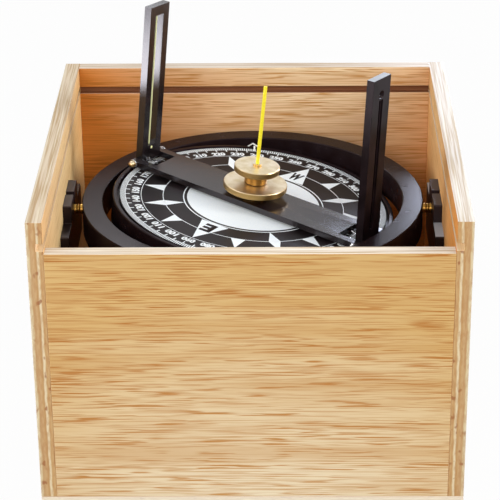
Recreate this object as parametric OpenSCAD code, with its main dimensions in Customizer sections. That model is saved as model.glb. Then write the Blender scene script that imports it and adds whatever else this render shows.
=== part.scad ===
// Pelorus in its plywood case: a dumb compass card in a gimballed bowl,
// a turning sight arm with two folding vanes, and two clamp knobs on one spindle.
// Millimetres. The origin is the centre of the case's underside, +Z is up,
// and the low front wall, over which the lid slides in, faces -Y.

/* [Case] */
// Outside width of the case
case_w = 240; // [234:1:280]
// Outside depth of the case, front to back
case_d = 240; // [234:1:280]
// Thickness of the plywood walls
ply_t = 9; // [7:0.5:11]
// Thickness of the bottom panel
bottom_t = 5; // [3:0.5:9]
// Height of the side and back walls, from the bottom panel up
wall_h = 172; // [165:1:200]
// Wood left above the lid groove
lip_h = 12.6; // [8:0.2:16]
// Height of the lid groove
groove_h = 4.4; // [3:0.1:6]
// Depth of the lid groove in the wall
groove_d = 4; // [2:0.5:5.5]
// Step down from the groove's floor to the top of the front wall
front_step = 1.8; // [0.5:0.1:6]

/* [Gimbals] */
// Height of the gimbal axes above the bottom panel
pivot_h = 125; // [115:1:132]
// Radial width of the gimbal ring
ring_w = 12.2; // [9:0.2:13]
// Height of the gimbal ring
ring_h = 18; // [15:0.5:24]
// Room between the gimbal ring and the nearest wall
ring_room = 10.2; // [9.4:0.2:16]
// How far the ring's middle lies below its pivots
ring_drop = 0.6; // [0:0.1:1.5]
// Gap between the bowl's rim and the ring
ring_gap = 5.1; // [4:0.1:6]
// Thickness of the bearing brackets
bracket_t = 5; // [4:0.5:6]
// Width of a bracket's upper block
bracket_w = 39; // [30:1:50]
// Width of a bracket's foot
foot_w = 78; // [66:1:90]
// Height of a bracket's top above the pivot axis
bracket_rise = 10.5; // [8:0.5:14]
// Height of a bracket's foot
foot_h = 30; // [24:1:40]
// Diameter of the shoulder on a ring pivot
shoulder_d = 6.2; // [5.4:0.2:7]
// Diameter of the journal that turns in a bracket's slot
journal_d = 4.3; // [3:0.1:5]
// Diameter of the threaded shank in the ring
shank_d = 8; // [7.4:0.2:9]
// Diameter of the pins that carry the bowl, clear of the card above them
bowl_pin_d = 3.6; // [2.8:0.2:3.6]
// Shank diameter of the wood screws
screw_d = 3.5; // [3:0.5:4.5]
// How far the wood screws bite into the wall
screw_bite = 6; // [4:0.5:6.5]

/* [Bowl] */
// Tilt of the bowl about the front-to-back axis, right side down
bowl_tilt = 6; // [0:0.5:10]
// Height of the rim above the pivot axis
rim_h = 4.9; // [4:0.1:7]
// Width of the rim seen from above
rim_w = 2.6; // [2:0.1:4]
// Depth of the bowl below the pivot axis
bowl_depth = 42; // [38:1:50]
// Thickness of the bowl's shell
shell_t = 2.5; // [2:0.1:4]
// Thickness of the belt that takes the pins
belt_w = 7.5; // [6:0.5:9]
// How far the belt reaches below the pivot axis
belt_h = 8; // [6:0.5:10]
// Diameter of the ballast weight
ballast_d = 90; // [70:1:110]
// Thickness of the ballast weight
ballast_t = 8; // [5:0.5:12]

/* [Card] */
// Gap between the card and the bowl's rim
card_gap = 1.4; // [1:0.1:3]
// Thickness of the card's plate
card_t = 2; // [1.5:0.1:2.3]
// How far the card lies below the rim's top
card_sink = 0.4; // [0.2:0.1:0.8]
// Diameter of the flange under the card
hub_flange_d = 40; // [34:1:60]
// Diameter of the hub that turns on the spindle
hub_d = 20; // [16:1:26]
// Length of the hub below the card
hub_l = 11.5; // [8:0.5:16]
// Diameter of the spigot that centres the card
spigot_d = 18; // [16:0.5:19]

/* [Spindle] */
// Diameter of the spindle's column
column_d = 10; // [9:0.5:12]
// Diameter of the spindle inside the card's hub
spindle_d = 8; // [7:0.2:8.6]
// Diameter of the spindle's upper end
tip_d = 5.3; // [4.5:0.1:6]
// How far the upper end stands out of the upper knob
tip_h = 1.2; // [0.6:0.1:3]
// Diameter of the shadow pin
shadow_d = 2.2; // [1.6:0.1:2.8]
// Length of the shadow pin above the spindle
shadow_l = 48.3; // [30:0.5:56]
// Depth of the shadow pin's socket
socket_l = 14; // [10:0.5:18]

/* [Sight arm] */
// Bearing of the arm, turned clockwise from the case's right side
arm_angle = 33.8; // [0:0.1:60]
// Distance from the rim's edge to the arm's end
arm_in = 2.5; // [2:0.1:6]
// Width of the arm
arm_w = 29; // [27:0.5:30]
// Thickness of the arm
arm_t = 3.5; // [3:0.1:4.5]
// Gap between the card and the arm
arm_rise = 1.7; // [1.5:0.1:2.5]
// Length of the notch in which a vane folds
notch_l = 15.5; // [13:0.5:18]
// Diameter of the bush in the middle of the arm
bush_d = 16; // [14:0.5:17]
// Diameter of the bush's flange under the arm
bush_flange_d = 18; // [17.5:0.5:22]
// Thickness of the washer on the arm
washer_t = 0.8; // [0.5:0.1:1.5]
// Diameter of the hinge pins
hinge_d = 1.8; // [1.4:0.1:2]
// Diameter of the wire of the vane springs
spring_wire_d = 0.8; // [0.6:0.1:1]
// Diameter of the washers on the thread vane's hinge pin
hinge_washer_d = 5.2; // [4:0.2:6]

/* [Vanes] */
// Width of a vane
vane_w = 18.1; // [16:0.1:20]
// Thickness of a vane
vane_t = 4.7; // [4:0.1:5]
// Length of a vane above its hinge
vane_len = 98; // [80:1:110]
// Distance from the arm's end to the hinge
hinge_in = 2; // [1.8:0.1:3]
// Inward lean of the thread vane
thread_lean = -1.15; // [-1.2:0.05:5]
// Inward lean of the slit vane
slit_lean = 3.3; // [-1.2:0.1:5]
// Width of the thread vane's window
window_w = 7.8; // [6:0.1:10]
// Height of the window's lower end above the hinge
window_foot = 9; // [8:0.5:16]
// Metal left above the window
window_head = 6; // [4:0.5:12]
// Diameter of the sight thread
thread_d = 1.1; // [0.8:0.1:1.6]
// Diameter of the knot at the thread's foot
knot_d = 2; // [1.8:0.1:2.6]
// Width of the sighting slit
slit_w = 1.2; // [0.8:0.1:2]
// Height of the slit's lower end above the hinge
slit_foot = 6.5; // [5:0.5:12]
// Metal left above the slit
slit_head = 13; // [13:0.5:18]
// Width of the shallow groove around the slit
slit_groove_w = 4; // [3:0.1:6]
// Depth of the shallow groove
slit_groove_d = 0.8; // [0.4:0.1:1.5]
// Diameter of the peep hole
peep_d = 2.2; // [1.6:0.1:3]
// Diameter of the peep hole's countersink
peep_sink_d = 5; // [4:0.1:6]
// Distance from the vane's top to the peep hole
peep_down = 9.8; // [6:0.2:9.8]

/* [Clamp knobs] */
// Diameter of the lower knob's disc
lower_d = 37.4; // [28:0.2:42]
// Thickness of the lower knob's disc
lower_t = 3.2; // [2.5:0.1:5]
// Diameter of the lower knob's boss
boss_d = 16; // [15:0.5:22]
// Height of the lower knob's boss
boss_h = 3.5; // [2:0.1:6]
// Diameter of the sleeve under the upper knob's neck
sleeve_d = 11; // [10:0.2:12]
// Diameter of the upper knob's neck
neck_d = 13.6; // [12.6:0.2:16]
// Height of the upper knob's neck
neck_h = 7.7; // [5:0.1:12]
// Diameter of the upper knob's disc
upper_d = 26.8; // [20:0.2:32]
// Thickness of the upper knob's disc
upper_t = 3; // [2.5:0.1:5]

/* [Hidden] */
$fn = 96;

// Radial clearance of turning fits, of fixed fits, and the gap between faces that turn
run_clear = 0.05;
fixed_clear = 0.02;
face_clear = 0.2;
// Side gap of a vane in its notch, and the gap at the ends of a spring's wires
vane_side = 0.35;
seat_gap = 0.3;
// Small bevel on turned edges, and a cutter's overrun
edge = 0.5;
over = 1;

plywood = "#d8b078";
black_paint = "#2a282b";
brass = "#d9c07f";
steel = "#b9babd";
iron = "#4a4a4c";
thread_yellow = "#d9dc8f";
pin_yellow = "#f0dc1e";
card_black = "#1d1c1e";

// Heights in the case's frame
inner_x = case_w / 2 - ply_t;
inner_y = case_d / 2 - ply_t;
groove_z = bottom_t + wall_h - lip_h - groove_h;
front_h = groove_z - front_step - bottom_t;
pivot_z = bottom_t + pivot_h;

// Gimbal sizes
ring_ro = min(inner_x, inner_y) - ring_room;
ring_ri = ring_ro - ring_w;
rim_r = ring_ri - ring_gap;
ring_top = ring_h / 2 - ring_drop;
bracket_x = inner_x - bracket_t;
ledge_drop = 0.5;
screw_y = (bracket_w + foot_w) / 4;
screw_drop = foot_h / 2;
screw_head_d = 2 * screw_d;
screw_slot = 0.8;
pin_bearing = 5.5;

// Heights in the bowl's frame, measured from the pivot axes
ball_r = ring_ri - ring_gap / 2;
card_top = rim_h - card_sink;
card_z = card_top - card_t;
card_r = rim_r - rim_w - card_gap;
card_play = 0.5;
spigot_rise = 0.5;
ledge_z = card_z - card_play;
floor_z = -bowl_depth + shell_t;
ballast_top = floor_z + ballast_t;
column_foot_d = 18;
column_foot_h = 3;
nut_h = 4.5;
nut_flats = 13;
hub_flange_h = 3;
hub_z = card_z - hub_l;
spigot_top = card_top + spigot_rise;
arm_z = card_top + arm_rise;
arm_top = arm_z + arm_t;
arm_len = 2 * (rim_r - arm_in);
hinge_z = arm_z + arm_t / 2;
hinge_a = arm_len / 2 - hinge_in;
hinge_washer_t = 0.6;
notch_w = vane_w + 2 * vane_side;
spring_r = (hinge_d + spring_wire_d) / 2 + 0.15;
coil_near = 4;
coil_turns = 2.75;
coil_pitch = spring_wire_d + 0.55;
coil_far = coil_near - coil_turns * coil_pitch;
bail_end = 4.9;
thread_bail = 6.6;
slit_bail = 9.1;
leg_end = 10.5;
bend_r = 1.2;
pocket_r = (vane_t + spring_wire_d) / 2;
pocket_w = coil_near - coil_far + spring_wire_d + 2 * seat_gap;
boss_z = arm_top + washer_t + face_clear;
lower_z = boss_z + boss_h;
neck_z = lower_z + lower_t + face_clear;
upper_z = neck_z + neck_h;
tip_z = upper_z + upper_t + tip_h;
bush_z = spigot_top + face_clear;

// Ends of the sight thread, measured from the hinge up the vane
knot_z = window_foot - 1.8;
knot_out = vane_t / 2 - 0.3 * knot_d;
thread_top = vane_len - window_head / 3;

// Places a child in the tilted bowl, and on the turned arm
module in_bowl() {
    translate([0, 0, pivot_z]) rotate([0, bowl_tilt, 0]) children();
}

module on_arm() {
    in_bowl() rotate([0, 0, -arm_angle]) children();
}

// Places a child at an arm's end: x outwards, z up the vane, y along the hinge
module at_hinge(side, lean) {
    on_arm() rotate([0, 0, side > 0 ? 0 : 180]) translate([hinge_a, 0, hinge_z])
        rotate([0, -lean, 0]) children();
}

// A disc with bevelled edges that stands on z = 0
module turned_disc(d, h, bevel) {
    r = d / 2;
    rotate_extrude() polygon([[0, 0], [r - bevel, 0], [r, bevel], [r, h - bevel],
        [r - bevel, h], [0, h]]);
}

// A ring with bevelled edges, its lower face on z = 0
module turned_ring(ri, ro, h, bevel) {
    rotate_extrude() polygon([[ri + bevel, 0], [ro - bevel, 0], [ro, bevel], [ro, h - bevel],
        [ro - bevel, h], [ri + bevel, h], [ri, h - bevel], [ri, bevel]]);
}

// A slotted cheese head whose seat lies on z = 0
module slotted_head(d, h) {
    difference() {
        turned_disc(d, h, edge / 2);
        translate([-d, -screw_slot / 2, h / 2]) cube([2 * d, screw_slot, h]);
    }
}

module bottom_panel() {
    color(plywood) translate([-case_w / 2, -case_d / 2, 0]) cube([case_w, case_d, bottom_t]);
}

module front_panel() {
    color(plywood) translate([-inner_x, -case_d / 2, bottom_t])
        cube([2 * inner_x, ply_t, front_h]);
}

module back_panel() {
    color(plywood) difference() {
        translate([-inner_x, inner_y, bottom_t]) cube([2 * inner_x, ply_t, wall_h]);
        translate([-case_w, inner_y - over, groove_z])
            cube([2 * case_w, groove_d + over, groove_h]);
    }
}

// The left wall; the right one mirrors it
module side_wall() {
    difference() {
        translate([-case_w / 2, -case_d / 2, bottom_t]) cube([ply_t, case_d, wall_h]);
        translate([-inner_x - groove_d, -case_d, groove_z])
            cube([groove_d + over, case_d + inner_y + groove_d, groove_h]);
        for (side = [-1, 1])
            translate([-inner_x, side * screw_y, pivot_z - screw_drop]) rotate([0, -90, 0])
                cylinder(d = screw_d + 2 * fixed_clear, h = screw_bite + fixed_clear);
    }
}

module left_panel() {
    color(plywood) side_wall();
}

module right_panel() {
    color(plywood) mirror([1, 0, 0]) side_wall();
}

// The bearing plate on the right wall: a block on a wider foot, with an open slot on top
module bearing_plate() {
    step_z = pivot_z - ledge_drop;
    foot_z = pivot_z - foot_h;
    top_z = pivot_z + bracket_rise;
    slot_d = journal_d + 2 * run_clear;
    difference() {
        translate([bracket_x, 0, 0]) rotate([90, 0, 90]) linear_extrude(bracket_t)
            polygon([[-foot_w / 2, foot_z], [foot_w / 2, foot_z], [foot_w / 2, step_z - edge],
                [foot_w / 2 - edge, step_z], [bracket_w / 2, step_z], [bracket_w / 2, top_z - edge],
                [bracket_w / 2 - edge, top_z], [edge - bracket_w / 2, top_z],
                [-bracket_w / 2, top_z - edge], [-bracket_w / 2, step_z],
                [edge - foot_w / 2, step_z], [-foot_w / 2, step_z - edge]]);
        translate([bracket_x - over, 0, pivot_z]) rotate([0, 90, 0])
            cylinder(d = slot_d, h = bracket_t + 2 * over);
        translate([bracket_x - over, -slot_d / 2, pivot_z])
            cube([bracket_t + 2 * over, slot_d, bracket_rise + over]);
        for (side = [-1, 1])
            translate([bracket_x, side * screw_y, pivot_z - screw_drop]) rotate([0, 90, 0]) {
                translate([0, 0, -over])
                    cylinder(d = screw_d + 2 * fixed_clear, h = bracket_t + 2 * over);
                cylinder(d1 = screw_head_d + 2 * fixed_clear, d2 = screw_d + 2 * fixed_clear,
                    h = screw_d / 2);
            }
    }
}

module left_bracket() {
    color(black_paint) mirror([1, 0, 0]) bearing_plate();
}

module right_bracket() {
    color(black_paint) bearing_plate();
}

// Countersunk wood screw, its head's face on z = 0 and its point up
module wood_screw() {
    difference() {
        union() {
            cylinder(d1 = screw_head_d, d2 = screw_d, h = screw_d / 2);
            cylinder(d = screw_d, h = bracket_t + screw_bite);
        }
        translate([-screw_d, -screw_slot / 2, -over])
            cube([2 * screw_d, screw_slot, over + screw_d / 4]);
    }
}

module bracket_screws() {
    color(steel) for (end = [-1, 1], side = [-1, 1])
        translate([end * bracket_x, side * screw_y, pivot_z - screw_drop])
            rotate([0, 90 * end, 0]) wood_screw();
}

module gimbal_ring() {
    bore_d = shank_d + 2 * fixed_clear;
    color(black_paint) difference() {
        translate([0, 0, pivot_z + ring_top - ring_h]) turned_ring(ring_ri, ring_ro, ring_h, edge);
        for (turn = [0, 90])
            translate([0, 0, pivot_z]) rotate([0, 90, turn])
                cylinder(d = bore_d, h = 3 * ring_ro, center = true);
    }
}

// One pivot of the ring along +X: shank in the ring, grooved shoulder, journal in the slot
module ring_pivot() {
    shank_l = ring_w - 2 * edge;
    shoulder_l = bracket_x - ring_ro - face_clear;
    shoulder_r = shoulder_d / 2;
    groove = 0.4;
    translate([ring_ro, 0, pivot_z]) rotate([0, 90, 0]) {
        translate([0, 0, -shank_l]) cylinder(d = shank_d, h = shank_l);
        rotate_extrude() polygon([[0, 0], [shoulder_r, 0], [shoulder_r, shoulder_l * 0.3],
            [shoulder_r - groove, shoulder_l * 0.4], [shoulder_r, shoulder_l * 0.5],
            [shoulder_r, shoulder_l * 0.6], [shoulder_r - groove, shoulder_l * 0.7],
            [shoulder_r, shoulder_l * 0.8], [shoulder_r, shoulder_l], [0, shoulder_l]]);
        cylinder(d = journal_d, h = shoulder_l + bracket_t - face_clear);
    }
}

module ring_pivot_pins() {
    color(brass) {
        ring_pivot();
        mirror([1, 0, 0]) ring_pivot();
    }
}

// One screw that carries the bowl: head outside the ring, pin in the bowl's belt
module bowl_pivot() {
    head_d = 1.5 * shank_d;
    head_h = 2.6;
    pin_end = rim_r - pin_bearing;
    translate([0, 0, pivot_z]) rotate([90, 0, 0]) {
        translate([0, 0, ring_ro]) slotted_head(head_d, head_h);
        translate([0, 0, ring_ri]) cylinder(d = shank_d, h = ring_w + head_h / 3);
        translate([0, 0, pin_end]) cylinder(d = bowl_pin_d, h = ring_ro - pin_end);
    }
}

module bowl_pivot_screws() {
    color(brass) {
        bowl_pivot();
        mirror([0, 1, 0]) bowl_pivot();
    }
}

// A round-bottomed pan with a belt for the pivots and a ledge under the card
module bowl() {
    belt_r = rim_r - belt_w;
    pan_r = rim_r - shell_t;
    color(black_paint) in_bowl() difference() {
        intersection() {
            sphere(r = ball_r);
            translate([0, 0, -bowl_depth]) turned_disc(2 * rim_r, bowl_depth + rim_h, edge);
        }
        translate([0, 0, ledge_z]) cylinder(r = rim_r - rim_w, h = rim_h);
        translate([0, 0, -belt_h - over]) cylinder(r = belt_r, h = belt_h + ledge_z + 2 * over);
        intersection() {
            sphere(r = ball_r - shell_t);
            translate([0, 0, floor_z]) cylinder(r = pan_r, h = -floor_z - belt_h);
        }
        rotate([90, 0, 0]) cylinder(d = bowl_pin_d + 2 * run_clear, h = 3 * rim_r, center = true);
        translate([0, 0, -bowl_depth - over])
            cylinder(d = spindle_d + 2 * fixed_clear, h = shell_t + 2 * over);
    }
}

module ballast_weight() {
    color(iron) in_bowl() translate([0, 0, floor_z]) difference() {
        turned_disc(ballast_d, ballast_t, edge);
        translate([0, 0, -over]) cylinder(d = spindle_d + 2 * fixed_clear, h = ballast_t + 2 * over);
    }
}

// The fixed spindle, from the nut under the bowl to the tip above the upper knob
module spindle() {
    shoulder_z = hub_z - face_clear;
    color(brass) in_bowl() difference() {
        union() {
            translate([0, 0, -bowl_depth - nut_h - over])
                cylinder(d = spindle_d, h = bowl_depth + nut_h + over + spigot_top - face_clear);
            translate([0, 0, ballast_top]) turned_disc(column_foot_d, column_foot_h, edge);
            translate([0, 0, ballast_top]) cylinder(d = column_d, h = shoulder_z - ballast_top);
            cylinder(d = tip_d, h = tip_z);
        }
        translate([0, 0, tip_z - socket_l])
            cylinder(d = shadow_d + 2 * run_clear, h = socket_l + over);
    }
}

module spindle_nut() {
    color(brass) in_bowl() translate([0, 0, -bowl_depth - nut_h]) difference() {
        cylinder(d = nut_flats / cos(30), h = nut_h, $fn = 6);
        translate([0, 0, -over]) cylinder(d = spindle_d + 2 * fixed_clear, h = nut_h + 2 * over);
    }
}

// A bent white strip on the rim, and a thin finger that reaches in over the card's scale
module lubber_pointer() {
    left = -4.6;
    right = 3.1;
    peak = -1.5;
    peak_h = 2.4;
    strip_t = 0.7;
    finger_x = -0.3;
    finger_w = 1.1;
    finger_t = 0.4;
    finger_l = 7.5;
    color("white") in_bowl() {
        translate([0, rim_r - edge, rim_h]) rotate([90, 0, 0]) linear_extrude(strip_t)
            polygon([[left, 0], [peak, peak_h], [right, 0],
                [right - strip_t * (right - peak) / peak_h, 0], [peak, peak_h - strip_t],
                [left + strip_t * (peak - left) / peak_h, 0]]);
        translate([finger_x - finger_w / 2, rim_r - edge - finger_l, rim_h])
            cube([finger_w, finger_l, finger_t]);
    }
}

module compass_card() {
    color(card_black) in_bowl() translate([0, 0, card_z]) difference() {
        turned_disc(2 * card_r, card_t, edge / 2);
        translate([0, 0, -over]) cylinder(d = spigot_d + 2 * fixed_clear, h = card_t + 2 * over);
    }
}

module card_hub() {
    color(brass) in_bowl() difference() {
        union() {
            translate([0, 0, hub_z]) turned_disc(hub_d, hub_l, edge);
            translate([0, 0, card_z - hub_flange_h]) turned_disc(hub_flange_d, hub_flange_h, edge);
            translate([0, 0, card_z]) cylinder(d = spigot_d, h = spigot_top - card_z);
        }
        translate([0, 0, hub_z - over])
            cylinder(d = spindle_d + 2 * run_clear, h = hub_l + spigot_top + 2 * over);
    }
}

module sight_arm() {
    hinge_bore = hinge_d + 2 * fixed_clear;
    color(black_paint) on_arm() difference() {
        translate([-arm_len / 2, -arm_w / 2, arm_z]) cube([arm_len, arm_w, arm_t]);
        translate([0, 0, arm_z - over]) cylinder(d = bush_d + 2 * fixed_clear, h = arm_t + 2 * over);
        for (side = [-1, 1]) {
            translate([side * arm_len / 2 - notch_l, -notch_w / 2, arm_z - over])
                cube([2 * notch_l, notch_w, arm_t + 2 * over]);
            translate([side * hinge_a, 0, hinge_z]) rotate([90, 0, 0])
                cylinder(d = hinge_bore, h = 2 * arm_w, center = true);
        }
    }
}

module arm_bush() {
    color(brass) on_arm() difference() {
        union() {
            translate([0, 0, bush_z]) cylinder(d = bush_flange_d, h = arm_z - bush_z);
            translate([0, 0, arm_z]) cylinder(d = bush_d, h = arm_t);
        }
        translate([0, 0, bush_z - over])
            cylinder(d = sleeve_d + 2 * run_clear, h = arm_top - bush_z + 2 * over);
    }
}

module arm_washer() {
    color(steel) on_arm() translate([0, 0, arm_top]) difference() {
        cylinder(d = bush_d + 1, h = washer_t);
        translate([0, 0, -over]) cylinder(d = sleeve_d + 4 * run_clear, h = washer_t + 2 * over);
    }
}

// A hinge pin with a ball head on one cheek and a riveted end on the other
module hinge_pin(side, head_side, head_r, seat) {
    rivet_r = 1.5;
    rivet_h = 1.2;
    at_hinge(side, 0) {
        rotate([90, 0, 0]) cylinder(d = hinge_d, h = arm_w + 2 * seat, center = true);
        translate([0, head_side * (arm_w / 2 + seat), 0]) rotate([-90 * head_side, 0, 0])
            intersection() {
                translate([0, 0, head_r / 2]) sphere(r = head_r);
                cylinder(r = head_r, h = 2 * head_r);
            }
        translate([0, -head_side * (arm_w / 2 + seat), 0]) rotate([90 * head_side, 0, 0])
            turned_disc(2 * rivet_r, rivet_h, edge / 2);
    }
}

module thread_hinge_pin() {
    color(brass) hinge_pin(-1, 1, 2, hinge_washer_t);
}

module slit_hinge_pin() {
    color(steel) hinge_pin(1, -1, 1.9, 0);
}

// The washers between the thread vane's hinge pin and the arm's cheeks
module hinge_washers() {
    color(steel) for (end = [-1, 1])
        at_hinge(-1, 0) translate([0, end * arm_w / 2, 0]) rotate([-90 * end, 0, 0])
            difference() {
                turned_disc(hinge_washer_d, hinge_washer_t, edge / 4);
                translate([0, 0, -over])
                    cylinder(d = hinge_d + 2 * fixed_clear, h = hinge_washer_t + 2 * over);
            }
}

// Points from one place to the next, the first one left out
function steps(from, to, count) = [for (i = [1:count]) from + (to - from) * i / count];

// The middle line of a vane spring from the hinge pin's middle, x inwards along the arm: a bail
// across the notch, its leg, the curls round the pin, and a leg that climbs over the bail
function spring_line(bail_in) =
    let (low = -spring_r, start = [bail_in, -bail_end, low], turn_x = bail_in - bend_r,
        turn_y = coil_near - bend_r, out = [spring_r + 0.6, coil_far, low + 0.2],
        leg = [2 * spring_r, coil_far, low + 0.1], over_bail = [thread_bail, coil_far, -0.1],
        end = leg + (over_bail - leg) * (leg_end - leg[0]) / (thread_bail - leg[0]))
    concat([start], steps(start, [bail_in, turn_y, low], 8),
        [for (a = [22.5:22.5:90]) [turn_x + bend_r * cos(a), turn_y + bend_r * sin(a), low]],
        steps([turn_x, coil_near, low], [0, coil_near, low], 6),
        [for (a = [30:30:360 * coil_turns])
            [-spring_r * sin(a), coil_near - coil_pitch * a / 360, -spring_r * cos(a)]],
        [[spring_r + 0.15, coil_far, -0.6], out, leg], steps(leg, end, 8));

// The direction of a line at one of its points
function heading(line, i) =
    let (run = line[min(i + 1, len(line) - 1)] - line[max(i - 1, 0)]) run / norm(run);

// Two crosswise directions at each point from the i-th on, carried along without twist
function crosswise(line, i, last) = i == len(line) ? [] :
    let (ahead = heading(line, i), flat = last - (last * ahead) * ahead, up = flat / norm(flat))
    concat([[up, cross(ahead, up)]], crosswise(line, i + 1, up));

// The least gap between two lengths of one wire, measured on the points of its middle line
function least_gap(line, d) =
    min([for (i = [0:len(line) - 8], j = [i + 7:len(line) - 1]) norm(line[i] - line[j])]) - d;

// One unbroken wire along a line of points
module wire(line, d) {
    sides = 8;
    ways = crosswise(line, 0, [0, 0, 1]);
    last = (len(line) - 1) * sides;
    polyhedron([for (i = [0:len(line) - 1], k = [0:sides - 1])
            line[i] + d / 2 * (cos(360 * k / sides) * ways[i][0] + sin(360 * k / sides) * ways[i][1])],
        concat([for (k = [1:sides - 2]) [0, k, k + 1]],
            [for (k = [1:sides - 2]) [last, last + k + 1, last + k]],
            [for (i = [0:len(line) - 2], k = [0:sides - 1], half = [0, 1])
                let (a = i * sides + k, b = i * sides + (k + 1) % sides)
                    half == 0 ? [a, a + sides, b] : [b, a + sides, b + sides]]));
}

// A torsion spring in the vane's pocket, its legs in the notch
module vane_spring(side, near_side, bail_in) {
    line = spring_line(bail_in);
    echo("least gap of a vane spring to itself", least_gap(line, spring_wire_d));
    on_arm() rotate([0, 0, side > 0 ? 0 : 180]) translate([hinge_a, 0, hinge_z])
        wire([for (p = line) [-p[0], near_side * p[1], p[2]]], spring_wire_d);
}

module thread_vane_spring() {
    color(steel) vane_spring(-1, 1, thread_bail);
}

module slit_vane_spring() {
    color(steel) vane_spring(1, -1, slit_bail);
}

// A flat blade with a rounded foot that turns on the hinge pin, with a pocket for the spring
module vane_blade(near_side) {
    difference() {
        union() {
            translate([-vane_t / 2, -vane_w / 2, 0]) cube([vane_t, vane_w, vane_len]);
            rotate([90, 0, 0]) cylinder(d = vane_t, h = vane_w, center = true);
        }
        rotate([90, 0, 0]) cylinder(d = hinge_d + 2 * run_clear, h = 2 * vane_w, center = true);
        translate([0, near_side * (coil_near + coil_far) / 2, 0]) rotate([90, 0, 0])
            cylinder(r = pocket_r, h = pocket_w, center = true);
    }
}

module thread_vane() {
    window_h = vane_len - window_head - window_foot;
    hole_d = thread_d + 2 * fixed_clear;
    color(black_paint) at_hinge(-1, thread_lean) difference() {
        vane_blade(1);
        translate([-vane_t, -window_w / 2, window_foot]) cube([2 * vane_t, window_w, window_h]);
        translate([0, 0, knot_z]) cylinder(d = hole_d, h = thread_top - knot_z + face_clear);
        translate([0, 0, knot_z]) rotate([0, -90, 0])
            cylinder(d = knot_d + 4 * run_clear, h = vane_t);
        translate([0, 0, knot_z]) sphere(d = knot_d + 4 * run_clear);
    }
}

// The taut thread in the window, with its knot in a pocket of the inner face
module sight_thread() {
    color(thread_yellow) at_hinge(-1, thread_lean) {
        translate([0, 0, knot_z]) cylinder(d = thread_d, h = thread_top - knot_z);
        translate([0, 0, knot_z]) rotate([0, -90, 0]) cylinder(d = thread_d, h = knot_out);
        translate([-knot_out, 0, knot_z]) sphere(d = knot_d);
    }
}

module slit_vane() {
    slit_h = vane_len - slit_head - slit_foot;
    peep_z = vane_len - peep_down;
    sink_h = (peep_sink_d - peep_d) / 2;
    color(black_paint) at_hinge(1, slit_lean) difference() {
        vane_blade(-1);
        translate([-vane_t, -slit_w / 2, slit_foot]) cube([2 * vane_t, slit_w, slit_h]);
        translate([vane_t / 2 - slit_groove_d, -slit_groove_w / 2, slit_foot])
            cube([vane_t, slit_groove_w, slit_h]);
        translate([0, 0, peep_z]) rotate([0, 90, 0])
            cylinder(d = peep_d, h = 2 * vane_t, center = true);
        translate([vane_t / 2 - sink_h, 0, peep_z]) rotate([0, 90, 0])
            cylinder(d1 = peep_d, d2 = peep_sink_d + 2 * over, h = sink_h + over);
    }
}

module lower_clamp_knob() {
    color(brass) in_bowl() difference() {
        union() {
            translate([0, 0, boss_z]) cylinder(d = boss_d, h = boss_h + lower_t / 2);
            translate([0, 0, lower_z]) turned_disc(lower_d, lower_t, edge);
        }
        translate([0, 0, boss_z - over])
            cylinder(d = sleeve_d + 2 * run_clear, h = boss_h + lower_t + 2 * over);
    }
}

// Disc, neck and the sleeve that reaches down to the card's hub, in one turning
module upper_clamp_knob() {
    color(brass) in_bowl() difference() {
        union() {
            translate([0, 0, bush_z]) cylinder(d = sleeve_d, h = neck_z - bush_z);
            translate([0, 0, neck_z]) turned_disc(neck_d, neck_h + edge, edge / 2);
            translate([0, 0, upper_z]) turned_disc(upper_d, upper_t, edge);
        }
        translate([0, 0, bush_z - over])
            cylinder(d = tip_d + 2 * run_clear, h = tip_z - bush_z + over);
    }
}

module shadow_pin() {
    color(pin_yellow) in_bowl() translate([0, 0, tip_z - socket_l + face_clear])
        cylinder(d = shadow_d, h = socket_l + shadow_l);
}

bottom_panel();
front_panel();
back_panel();
left_panel();
right_panel();
left_bracket();
right_bracket();
bracket_screws();
gimbal_ring();
ring_pivot_pins();
bowl_pivot_screws();
bowl();
ballast_weight();
spindle();
spindle_nut();
lubber_pointer();
compass_card();
card_hub();
sight_arm();
arm_bush();
arm_washer();
thread_hinge_pin();
slit_hinge_pin();
hinge_washers();
thread_vane_spring();
slit_vane_spring();
thread_vane();
sight_thread();
slit_vane();
lower_clamp_knob();
upper_clamp_knob();
shadow_pin();
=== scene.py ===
# Pelorus in its plywood case, dressed for the render.
# Metres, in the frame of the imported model: +Z is up and the low front wall faces -Y.

import math
from collections import namedtuple

import bmesh
import bpy
from mathutils import Matrix, Vector


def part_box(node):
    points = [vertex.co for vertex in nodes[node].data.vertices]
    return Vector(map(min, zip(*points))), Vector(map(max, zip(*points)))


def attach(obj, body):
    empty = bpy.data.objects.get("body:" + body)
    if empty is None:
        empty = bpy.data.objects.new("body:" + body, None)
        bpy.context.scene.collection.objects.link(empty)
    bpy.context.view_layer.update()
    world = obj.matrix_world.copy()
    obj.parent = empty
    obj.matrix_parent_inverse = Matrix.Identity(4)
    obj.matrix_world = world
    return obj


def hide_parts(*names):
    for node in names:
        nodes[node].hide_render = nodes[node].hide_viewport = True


MM = 0.001
X, Y, Z = 0, 1, 2

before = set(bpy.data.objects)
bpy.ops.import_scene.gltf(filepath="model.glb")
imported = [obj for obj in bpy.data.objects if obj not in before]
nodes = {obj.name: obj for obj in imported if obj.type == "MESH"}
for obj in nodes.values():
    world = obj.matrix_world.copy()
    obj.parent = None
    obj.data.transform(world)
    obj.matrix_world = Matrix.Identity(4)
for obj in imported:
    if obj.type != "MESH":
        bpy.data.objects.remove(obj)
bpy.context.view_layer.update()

# The bowl leans on its pivots as it does in the photograph
BOWL_TILT = math.radians(6)
pin_low, pin_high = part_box("ring_pivot_pins")
PIVOT_Z = (pin_low.z + pin_high.z) / 2
IN_BOWL = Matrix.Translation((0, 0, PIVOT_Z)) @ Matrix.Rotation(BOWL_TILT, 4, "Y")

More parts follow.
